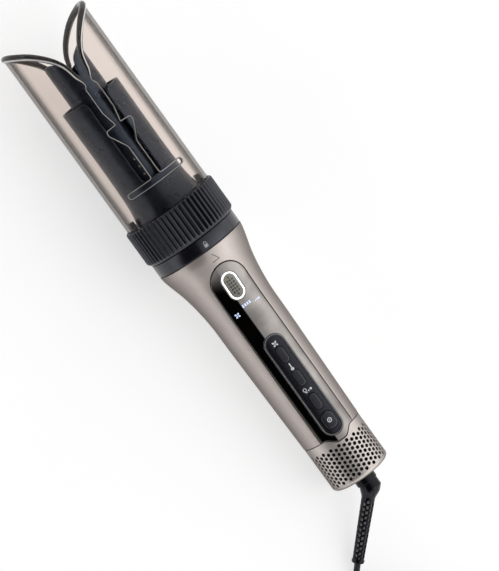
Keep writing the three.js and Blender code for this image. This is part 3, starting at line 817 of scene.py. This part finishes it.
def make_relief():
    """The elbow's upper arm, and its lower arm with the floors of its pockets in a lighter grey, a painted
    highlight.
    """
    line = smoothed([ELBOW, *LEAD_ROUTE[3:RELIEF_POINTS]], 30)
    sleeve_way = Vector(line[1] - line[0]).normalized()
    plane = (sleeve_way - TIP).normalized()
    upper = swept([exit_point / MM, ELBOW - TIP * 9], lambda turn, gone: ELBOW_RADIUS)
    upper.points = onto_plane(upper.points, -TIP, plane)
    line = np.array([line[0] - np.array(sleeve_way) * RELIEF_LAP, *line])
    distance = stations_along(line)
    even = np.linspace(0, distance[-1], round(distance[-1] / RELIEF_STEP))
    line = np.stack([np.interp(even, distance, line[:, k]) for k in range(3)], 1)
    total = distance[-1] - RELIEF_LAP
    lower = swept(line, lambda turn, gone: relief_radius(turn, gone - RELIEF_LAP, total))
    lower.points = onto_plane(lower.points, -sleeve_way, -plane)
    turns = np.arange(RELIEF_SIDES) * FULL / RELIEF_SIDES
    sunk = [pocket(turn, gone - RELIEF_LAP, total) > 0.6 for gone in even for turn in turns]
    for finish, deep in ((1, False), (2, True)):
        faces = [face for face in lower.faces if sunk[min(face[0], len(sunk) - 1)] == deep]
        upper.add(lower.points, faces, finish=finish)
    return piece("cord_relief", upper, "neck_black sleeve_black pocket_grey", "cord_set", "cord_black",
                 "strain_relief", place=IN_PLACE, crease=32)


def superellipse(half_width, half_height, power, count=48):
    turn = np.arange(count) * FULL / count
    x, y = np.cos(turn), np.sin(turn)
    return np.stack([half_width * np.sign(x) * np.abs(x) ** (2 / power),
                     half_height * np.sign(y) * np.abs(y) ** (2 / power)], 1)


def from_cord(node):
    """A plug piece's length and half sizes, and the place that lays it along the plug from its cord's end."""
    low, high = (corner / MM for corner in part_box(node))
    half = (high - low) / 2
    start = Matrix.Translation((low.x + half.x, high.y, low.z + half.z))
    return 2 * half.y, half.x, half.z, IN_PLACE @ start @ Matrix.Rotation(-pi / 2, 4, "Z")


# Sections of the plug: how far along, then the half width, the half thickness and the squareness
PLUG = [
    (0, 0.22, 0.55, 2), (0.02, 0.25, 0.62, 2), (0.08, 0.26, 0.64, 2), (0.12, 0.30, 0.68, 2),
    (0.16, 0.44, 0.76, 2.2), (0.22, 0.66, 0.86, 2.6), (0.32, 0.88, 0.95, 3.2), (0.45, 0.985, 1.0, 3.8),
    (0.6, 1.0, 1.0, 4), (0.9, 1.0, 1.0, 4), (0.96, 0.985, 0.97, 4), (0.99, 0.94, 0.9, 4), (1, 0.88, 0.82, 4),
]


def make_plug():
    """A flat moulded two-pin plug, narrow where the cord enters it and broad at its face."""
    long, wide, thick, place = from_cord("plug_body")
    rings = []
    for along, width, height, power in smoothed(PLUG, 3):
        section = superellipse(wide * width, thick * height, power)
        rings.append([(long * min(1.0, along), y, z) for y, z in section])
    shape = lofted(rings, [(0, 0, 0), (long, 0, 0)])
    return piece("plug", shape, "plug_black", "cord_set", "cord_black", "plug_body", place=place, crease=40)


def make_pin(side):
    """A round pin with a rounded end and an insulating sleeve on its root."""
    node, count = "plug_pin_" + side, 32
    long, _, radius, place = from_cord(node)
    stops = [(0, 0.2), (0.01, radius), (15, radius), (15.01, radius - 0.15), (long - 2, radius - 0.15),
             (long - 0.9, radius - 0.5), (long - 0.25, radius - 1.3), (long, 0.1)]
    shape = lofted([[(along, y, z) for y, z in superellipse(around, around, 2, count)]
                    for along, around in stops])
    shape.finishes = [1 if face < 2 * count else 0 for face in range(len(shape.faces))]
    return piece("mains_pin_" + side, shape, "pin_nickel pin_sleeve", "cord_set", "pin_nickel", node,
                 place=place, crease=40)


def make_tie():
    """A strap looped round the coil's bundle."""
    low, high = (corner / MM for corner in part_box("coil_tie"))
    middle, half = (low + high) / 2, (high - low) / 2
    outline = rounded_block(2 * half.x, 2 * half.z, 2.6, 0, count=5)
    outline = filled([*outline, outline[0]], 1.5)[:-1]
    thick, edge, broken = 0.8, half.y - 0.2, 0.15
    section = [(0, -edge), (0, edge), (broken, half.y), (thick - broken, half.y), (thick, edge),
               (thick, -edge), (thick - broken, -half.y), (broken, -half.y)]
    ways = unit(np.roll(outline, -1, 0) - np.roll(outline, 1, 0))
    rings = [[(middle.x + x - rise * deep, middle.y + y, middle.z + z + along * deep) for deep, y in section]
             for (x, z), (along, rise) in zip(outline, ways)]
    shape = lofted(rings, looped=True)
    return piece("tie", shape, "tie_black", "cord_set", "tie_black", "coil_tie", place=IN_PLACE, crease=40)


def make_neck():
    low, high, wide, _ = tube("swivel_neck")
    radius, bend, step = 6.9, 0.7, 16.9
    profile = [(0, low), *arc(radius - bend, low + bend, bend, -90, 0),
               (radius, step), (wide, step), (wide, high), (0, high)]
    piece("neck", turned(Shape(), profile, 72), "neck_black", "cord_set", "neck_black", "swivel_neck")


exit_point = TO_ROOM @ Vector((0, 0, reach("swivel_neck")[0]))
cord = make_cord()
cord_pieces = [make_relief(), make_plug(), make_pin("left"), make_pin("right"), make_tie()]
make_neck()


# ---- attachment
SHROUD_WALL = 2.0
PLAIN_RIM, MOUTH_BEAD = 0.8, 1.65  # the edge's rounding along the slot, and the bead round the mouth
BEAD_START, BEAD_FULL = 290.0, 299.0
TIP_BEAD, TIP_START, TIP_FULL = 0.55, 302.0, 331.0  # what the bead gains by the tips
RIM_STRIPS, HIGHLIGHT_STRIP = 11, 1  # the edge's strips from its outer face, and the one painted pale grey as a painted highlight
# The front slot from its foot to the hook where the mouth's bead ends: half width, station, corner radius
SLOT = [
    (0, 219.5, 0), (19.7, 219.5, 1.4), (19.7, 222.3, 1.4), (2.65, 222.3, 2), (2.65, 246.4, 4),
    (8.6, 257.8, 1), (8.3, 260.3, 0.9), (1.2, 260.6, 1.15), (2.4, 265.5, 6), (3.6, 271, 6),
    (3.6, 287.6, 0.8), (2.2, 290, 1.2), (2.5, 294.8, 0),
]
# The mouth's edge from the hook, over a petal's tip, to the valley at the back: degrees round, station
MOUTH = [
    (4.9, 294.8), (7.2, 301.6), (11, 308.2), (22, 316.6), (42, 325), (68.5, 330.1), (90, 331.2),
    (111.5, 330.1), (138, 325), (158, 316.6), (169, 308.2), (173.5, 302), (180, 299), (186.5, 302),
]


def bead(angle, station):
    """The size of the shroud's edge: plain along the slot, and a fat bead round the mouth."""
    grown = ease((station - BEAD_START) / (BEAD_FULL - BEAD_START))
    tip = ease((station - TIP_START) / (TIP_FULL - TIP_START))
    return PLAIN_RIM + (MOUTH_BEAD - PLAIN_RIM) * grown + TIP_BEAD * tip


def make_shroud():
    low, _, radius, side = tube("shroud")
    slot = on_front(filled(rounded(SLOT), 1.2), side)
    high = both_sides([*slot, *over_the_top(MOUTH, radius, 12)[1:]])
    # The edge strips take the near-black smoke: painted shade round the bead, over its real deeper tint
    shape = sheet(Shape(), side, 0, -SHROUD_WALL, edges=(round_the_back(low), high), rim=bead, steps=5,
                  across=3, up=3.5, rim_finish=1)
    # One strip of the edge above the foot gets the pale grey: a painted highlight along the edge
    for i, face in enumerate(shape.faces):
        if shape.finishes[i] == 1 and low + 3 < shape.points[face[0]][2] and i % RIM_STRIPS == HIGHLIGHT_STRIP:
            shape.finishes[i] = 2
    piece("curl_shroud", shape, "smoke_clear smoke_edge smoke_cut", "attachment", "clear_smoke", "shroud")


def over_the_top(line, radius, steps):
    """A smooth edge on a tube through places given in degrees and stations, as far as the back's middle."""
    scale = radius * pi / 180
    line = smoothed([(turn * scale, station) for turn, station in line], steps)
    return line[line[:, 0] <= 180 * scale + 1e-6] / (radius, 1)


BARREL_WALL = 1.8
OPENING_HALF, OPENING_LOW = 7.3, 222.4
# The core's top from the front to the back: degrees round, station
CORE_TOP = [
    (0, 296), (9, 302.5), (20, 307), (48, 310.3), (75, 311),
    (100, 308.5), (125, 304.5), (150, 302), (180, 300),
]
VENT_TURN, VENTS = radians(-11), (237.0, 231.6, 226.2)


def make_sleeve():
    """The barrel's outer tube, open along its front, with a wide rounded mouth to the opening."""
    low, high = reach("barrel_sleeve")
    side = Side("barrel_sleeve")
    radius = float(side(high))
    half = radius * asin(OPENING_HALF / radius)
    back = radius * pi
    line = rounded([(0, OPENING_LOW, 0), (half, OPENING_LOW, 3), (half, high, 4.5), (back, high, 0)])
    edges = round_the_back(low), both_sides(filled(line, 1.5) / (radius, 1))
    shape = sheet(Shape(), side, 0, -BARREL_WALL, edges=edges, rim=0.55)
    piece("barrel_tube", shape, "barrel_black", "attachment", "barrel_black", "barrel_sleeve")


def make_core():
    """The barrel's inner tube, with a row of small vents low on its front."""
    low, _, radius, side = tube("barrel_core")
    edges = round_the_back(low), both_sides(over_the_top(CORE_TOP, radius, 8))
    shape = sheet(Shape(), side, 0, -BARREL_WALL, edges=edges, rim=0.6, across=6, up=5)
    for station in VENTS:
        vent = on_front(circle(radius * sin(VENT_TURN), station, 0.62), side)
        sheet(shape, side, 0.35, -0.4, [vent], across=3, up=0.5, finish=1)
    piece("barrel_inner", shape, "barrel_black pin_nickel", "attachment", "barrel_black", "barrel_core")


RIBS, RIB_SAMPLES, RIB_DEPTH = 60, 10, 1.35
BORE, SEAT, SEAT_LOW = 23.1, 29.8, 186.3


def make_grip_ring():
    """Round-topped ribs with narrow valleys between plain, eased ends, and a stepped bore."""
    low, high, crest, _ = tube("grip_ring")
    # station, radius and how deep the valleys run there
    rings = [(low, crest - 1.9, 0), (low + 0.5, crest - 1.3, 0), (low + 1.1, crest - 0.9, 0.1),
             (low + 1.7, crest - 0.35, 0.6), (low + 2.4, crest, 1), (low + 6, crest, 1), (high - 6, crest, 1),
             (high - 1.6, crest, 1), (high - 0.9, crest - 0.1, 0.9), (high - 0.3, crest - 0.5, 0.55),
             (high, crest - 1.1, 0), (high, SEAT, 0), (SEAT_LOW, SEAT, 0), (SEAT_LOW, BORE, 0),
             (low, BORE, 0), (low, crest - 1.9, 0)]
    count = RIBS * RIB_SAMPLES
    turn = np.arange(count) * FULL / count
    valley = RIB_DEPTH * np.abs(2 * ((turn / FULL * RIBS) % 1) - 1) ** 1.8
    shape = lofted([spot(turn, station, radius - share * valley) for station, radius, share in rings])
    piece("grip", shape, "ribbed_black", "attachment", "ribbed_black", "grip_ring", crease=50)


def make_collar():
    """The collar, with a closed padlock on its front."""
    low, high, radius, side = tube("lock_collar")
    bend = 0.55
    profile = [(BORE, low), *arc(radius - bend, low + bend, bend, -90, 0, 4),
               *arc(radius - bend, high - bend, bend, 0, 90, 4), (BORE, high)]
    piece("collar", turned(Shape(), profile, 120), "collar_black", "attachment", "gloss_black", "lock_collar")
    arch = stroke([(-0.8, 172.4), *arc(0, 173.3, 0.8, 180, 0, 8), (0.8, 172.4)], 0.4)
    lock = [[rounded_block(2.5, 2.0, 0.4, 171.5)], [arch]]
    marks("lock_sign", lock, side, 0, "print_grey", "attachment", "light_white")


# ---- printed marks
def stroke(points, width, ends=6):
    """The outline of a line of the given width with round ends."""
    line = [np.array(p, float) for p in points]
    out = []
    for path in (line, line[::-1]):
        way = path[1] - path[0]
        for a, b in zip(path, path[1:]):
            way = (b - a) / np.linalg.norm(b - a)
            normal = np.array([way[1], -way[0]]) * width / 2
            out.extend([a + normal, b + normal])
        start = degrees(atan2(-way[0], way[1]))
        out.extend(np.array(arc(*path[-1], width / 2, start, start + 180, ends)[1:-1]))
    return out


def fan_sign(x, z, size):
    """Four drop-shaped blades with their points at the middle."""
    blades = []
    for turn in np.radians([45, 135, 225, 315]):
        blade = []
        for share in np.linspace(0, FULL, 16, endpoint=False):
            along = size * (0.56 - 0.44 * cos(share))
            aside = size * 0.36 * sin(share) * (0.775 - 0.225 * cos(share))
            blade.append((x + along * cos(turn) - aside * sin(turn),
                          z + along * sin(turn) + aside * cos(turn)))
        blades.append([blade])
    return blades


def ring(x, z, radius, width, count=24):
    return [circle(x, z, radius, count), circle(x, z, radius - width, count)]


def marks(name, signs, side, offset, finish, body, slot):
    """Thin printed or lit signs on a turned surface. Each sign is an outline and the holes in it."""
    shape = Shape()
    for sign in signs:
        loops = [on_front(filled([*loop, loop[0]], 0.6)[:-1], side, offset) for loop in sign]
        sheet(shape, side, offset + 0.05, offset - 0.05, loops, rim=0.02, steps=1, across=1.5, up=0.6)
    piece(name, shape, finish, body, slot)


# ---- handle
PANEL_WIDTH, PANEL_HIGH, PANEL_DEPTH = 23.7, 157.2, 1.8
GAP = 0.3
SEAM = 0.5  # the gap round the panel
# Half of the chin at the panel's foot, from its lowest point to its side: x, station, corner radius
CHIN = [(0, 27.5, 0), (3.5, 27.5, 8.5), (8.9, 31.9, 3)]
# Outlines on the front: width, height, a block's corner radius, and middle
BEZEL = (13.2, 72.5, 68.15)
LIGHT = (10.0, 18.4, 141.9)
POWER = (7.9, 10.9, 3.4, 41.8)
BUTTON = (4.7, 10.7)
BUTTONS = {"button_fan": 90.5, "button_heat": 73.4, "button_curl": 55.9}
BUTTON_PROUD, BUTTON_DEPTH = 1.2, 2.4
BEZEL_LINE, BEZEL_RIM = 0.42, 0.95  # how far in from the bezel's edge its thin painted highlight line and its rim end
BEZEL_PROUD, BEZEL_FIELD = 0.5, 0.12
LIGHT_BAND = 1.0
DOT = (1.12, 1.15, 0.25)

handle_side = Side("handle_shell")


def on_handle(shape, outer, outlines, inner=-PANEL_DEPTH, step=1.5, rim=0.2, across=2.5, up=2.5, **options):
    """Adds a sheet to the handle's front, bounded by an outline and the holes in it."""
    loops = [on_front(filled([*line, line[0]], step)[:-1], handle_side) for line in outlines]
    return sheet(shape, handle_side, outer, inner, loops, rim=rim, across=across, up=up, **options)


def chin(grown, side_x):
    """The right half of the chin and the level edge beside it."""
    (_, low, _), (x, _, wide), (edge_x, edge, narrow) = CHIN
    low, edge_x = low - grown, edge_x + grown
    return rounded([(0, low, 0), (x, low, wide), (edge_x, edge, narrow), (side_x, edge, 0)])


def make_handle_shell():
    """The grip: a slim waist that flares to the collar, with the panel's window open at its base end."""
    low, high = reach("handle_shell")
    radius = PANEL_WIDTH / 2 + SEAM
    window = [(radius, low), *arc(0, PANEL_HIGH + SEAM - radius, radius, 0, 90, 20)]
    window = on_front(filled(window, 2), handle_side)
    foot = [(turn, low) for turn in np.linspace(window[0, 0], pi, 46)[1:]]
    edges = both_sides([*window[::-1], *foot])[::-1], round_the_back(high)[::-1]
    shape = sheet(Shape(), handle_side, 0, -2.2, edges=edges, rim=0.45, across=3, up=3)
    piece("grip_shell", shape, "champagne", "handle", "champagne", "handle_shell")


def make_panel():
    """The long inlay, with holes for the display and the bezel."""
    radius = PANEL_WIDTH / 2
    half = [(x, z + GAP) for x, z in chin(0, radius)] + arc(0, PANEL_HIGH - radius, radius, 0, 90, 20)
    outline = half + [(-x, z) for x, z in half[-2:0:-1]]
    shape = on_handle(Shape(), 0, [outline, stadium(*BEZEL, GAP), stadium(*LIGHT, GAP)], rim=0.3)
    piece("panel", shape, "piano_panel", "handle", "gloss_black", "control_panel")


def make_bezel():
    """A thin pale line painted round its edge as a painted highlight, and a raised rim round a satin field,
    with a hole for each button.
    """
    edge, line, rim = (stadium(*BEZEL, -inset) for inset in (0, BEZEL_LINE, BEZEL_RIM))
    holes = [stadium(*BUTTON, middle, GAP) for middle in BUTTONS.values()]
    shape = on_handle(Shape(), BEZEL_PROUD, [edge, line], rim=0.12, finish=2)
    on_handle(shape, BEZEL_PROUD - 0.15, [line, rim])
    on_handle(shape, BEZEL_FIELD, [rim, *holes, rounded_block(*POWER, GAP)], finish=1)
    piece("bezel", shape, "gloss_black bezel_grey bezel_rim", "handle", "gloss_black", "button_bezel")


def make_buttons():
    """The pill buttons and the power button, each with a glossy edge."""
    keys = {name: (stadium(*BUTTON, middle), 0.7) for name, middle in BUTTONS.items()}
    keys["power_button"] = (rounded_block(*POWER), 0.8)
    for node, (outline, rim) in keys.items():
        shape = on_handle(Shape(), BUTTON_PROUD, [outline], -BUTTON_DEPTH, 1, rim, 2, 1.5,
                          steps=5, rim_finish=1)
        name = "key_" + node.replace("button", "").strip("_")
        piece(name, shape, "button_black gloss_black", node, "button_black", node)
    sign = [ring(0, POWER[3], 1.5, 0.55), [circle(0, POWER[3], 0.4, 10)]]
    marks("power_sign", sign, handle_side, BUTTON_PROUD, "print_white", "power_button", "light_white")


def make_display():
    """The stadium of light, and inside it a dark window with rows of dots."""
    edge, inside_edge, window_edge = (stadium(*LIGHT, -inset) for inset in (0, LIGHT_BAND, LIGHT_BAND + 0.1))
    glow = on_handle(Shape(), 0.15, [edge, inside_edge], step=1, rim=0.3, across=2, up=1.5)
    piece("light_ring", glow, "light_white", "handle", "light_white", "display_light_ring")
    window = on_handle(Shape(), -0.1, [window_edge], step=1, rim=0.1, across=2, up=1.5)
    for row, column in [(r, c) for r in range(-3, 4) for c in (-1, 0, 1) if abs(r) < 3 or c == 0]:
        dot = rounded_block(*DOT, LIGHT[2] + 1.95 * row, x=1.7 * column)
        on_handle(window, -0.06, [dot], -0.2, rim=0.03, steps=1, across=2, up=0.6, finish=1)
    piece("display", window, "window_glass window_dot", "handle", "gloss_black", "display_window")


def make_signs():
    """The display's lit signs, the buttons' printed ones and the arrow that shows how the attachment fits."""
    signs = fan_sign(-8.1, 125.4, 1.8)
    signs += [[rounded_block(1.05, 1.9, 0.25, 128.1, x=1.62 * i - 2.35)] for i in range(4)]
    signs += [[circle(4.6 + 1.35 * i, 126.5, 0.22 + 0.12 * i, 12)] for i in range(4)]
    marks("lit_signs", signs, handle_side, 0, "icon_white", "handle", "light_white")
    signs = fan_sign(0, 98.4, 2.0)
    signs += [[circle(0, 80.0, 1.05)], [stroke([(0, 80.0), (0, 83.6)], 0.75)]]
    signs += [ring(-1.7, 65.0, 1.2, 0.42, 20), [stroke([(-2.1, 63.4), (-0.9, 63.1)], 0.5)]]
    signs += [[circle(0.3, 63.6, 0.5, 12)], [circle(2.0, 63.9, 0.75, 14)]]
    marks("button_signs", signs, handle_side, BEZEL_FIELD, "print_white", "handle", "light_white")
    # The fit mark is engraved: its two dark strokes are painted shade in its sides, and its lit side is not
    # drawn
    point = (2.2, 160.8)
    arrow = [[stroke([(-0.4, 165.3), point], 0.42)], [stroke([point, (-2.7, 160.7)], 0.42)]]
    marks("fit_mark", arrow, handle_side, 0, "print_dark", "handle", "champagne")


HOLE_COLUMNS, HOLE_RADIUS, HOLE_PITCH = 42, 1.12, 3.015
HOLE_ROWS = ((4.3, 8), (5.8, 7))  # the first hole's station and the count, in the even and the odd columns
COVER_WALL, COVER_CORNER, COVER_BORE = 1.3, 3.0, 7.3


def make_cover():
    """The rear cover: a thin metal cup with staggered round holes, notched for the panel's chin."""
    low, high, radius, side = tube("filter_cover")
    dip = on_front(filled(chin(GAP, PANEL_WIDTH / 2 + 2), 0.9), side)
    rest = [(turn, high) for turn in np.linspace(dip[-1, 0], pi, 40)[1:]]
    holes = []
    for column in range(HOLE_COLUMNS):
        first, count = HOLE_ROWS[column % 2]
        turn = (column + 0.5) * FULL / HOLE_COLUMNS
        for row in range(count):
            hole = np.array(circle(0, first + row * HOLE_PITCH, HOLE_RADIUS, 14)) / (radius, 1)
            holes.append(hole + (turn - FULL if turn > pi else turn, 0))
    edges = round_the_back(low + COVER_CORNER), both_sides([*dip, *rest])
    shape = sheet(Shape(), side, 0, -COVER_WALL, holes, edges, rim=0.16, steps=1, across=60, up=40)
    bend, inner = COVER_CORNER, radius - COVER_WALL - COVER_CORNER + 1
    base = [(COVER_BORE, low), *arc(radius - bend, low + bend, bend, -90, 0, 7),
            *arc(inner, low + bend, bend - 1, 0, -90, 5), (COVER_BORE, low + 1)]
    turned(shape, base, 126)
    piece("rear_cover", shape, "grille_metal", "filter_cover", "grille_metal", "filter_cover")


for make in (make_shroud, make_sleeve, make_core, make_grip_ring, make_collar, make_handle_shell, make_panel,
             make_bezel, make_buttons, make_display, make_signs, make_cover):
    make()

# ---- pieces that keep their CAD shape
KEPT = {
    "inner_resin": "fan_housing impeller ion_emitter rear_frame",
    "inner_steel": "motor_can motor_shaft heater_coil thermal_fuse bayonet_ring"
                   " frame_screw_left frame_screw_right",
    "filter_steel": "filter_mesh",
    "mica": "heater_tube heater_frame",
    "seal_rubber": "fan_seal motor_mount mouth_seal spigot_seal",
    "board_green": "main_board",
    "contact_brass": "slip_ring_block",
    "lead_red": "lead_live",
    "lead_blue": "lead_neutral",
    "barrel_black": "air_swirler barrel_base coupling_spigot",
}
for finish, nodes in KEPT.items():
    for node in nodes.split():
        materials = frame["nodes"][node].data.materials
        materials.clear()
        materials.append(FINISHES[finish].material)
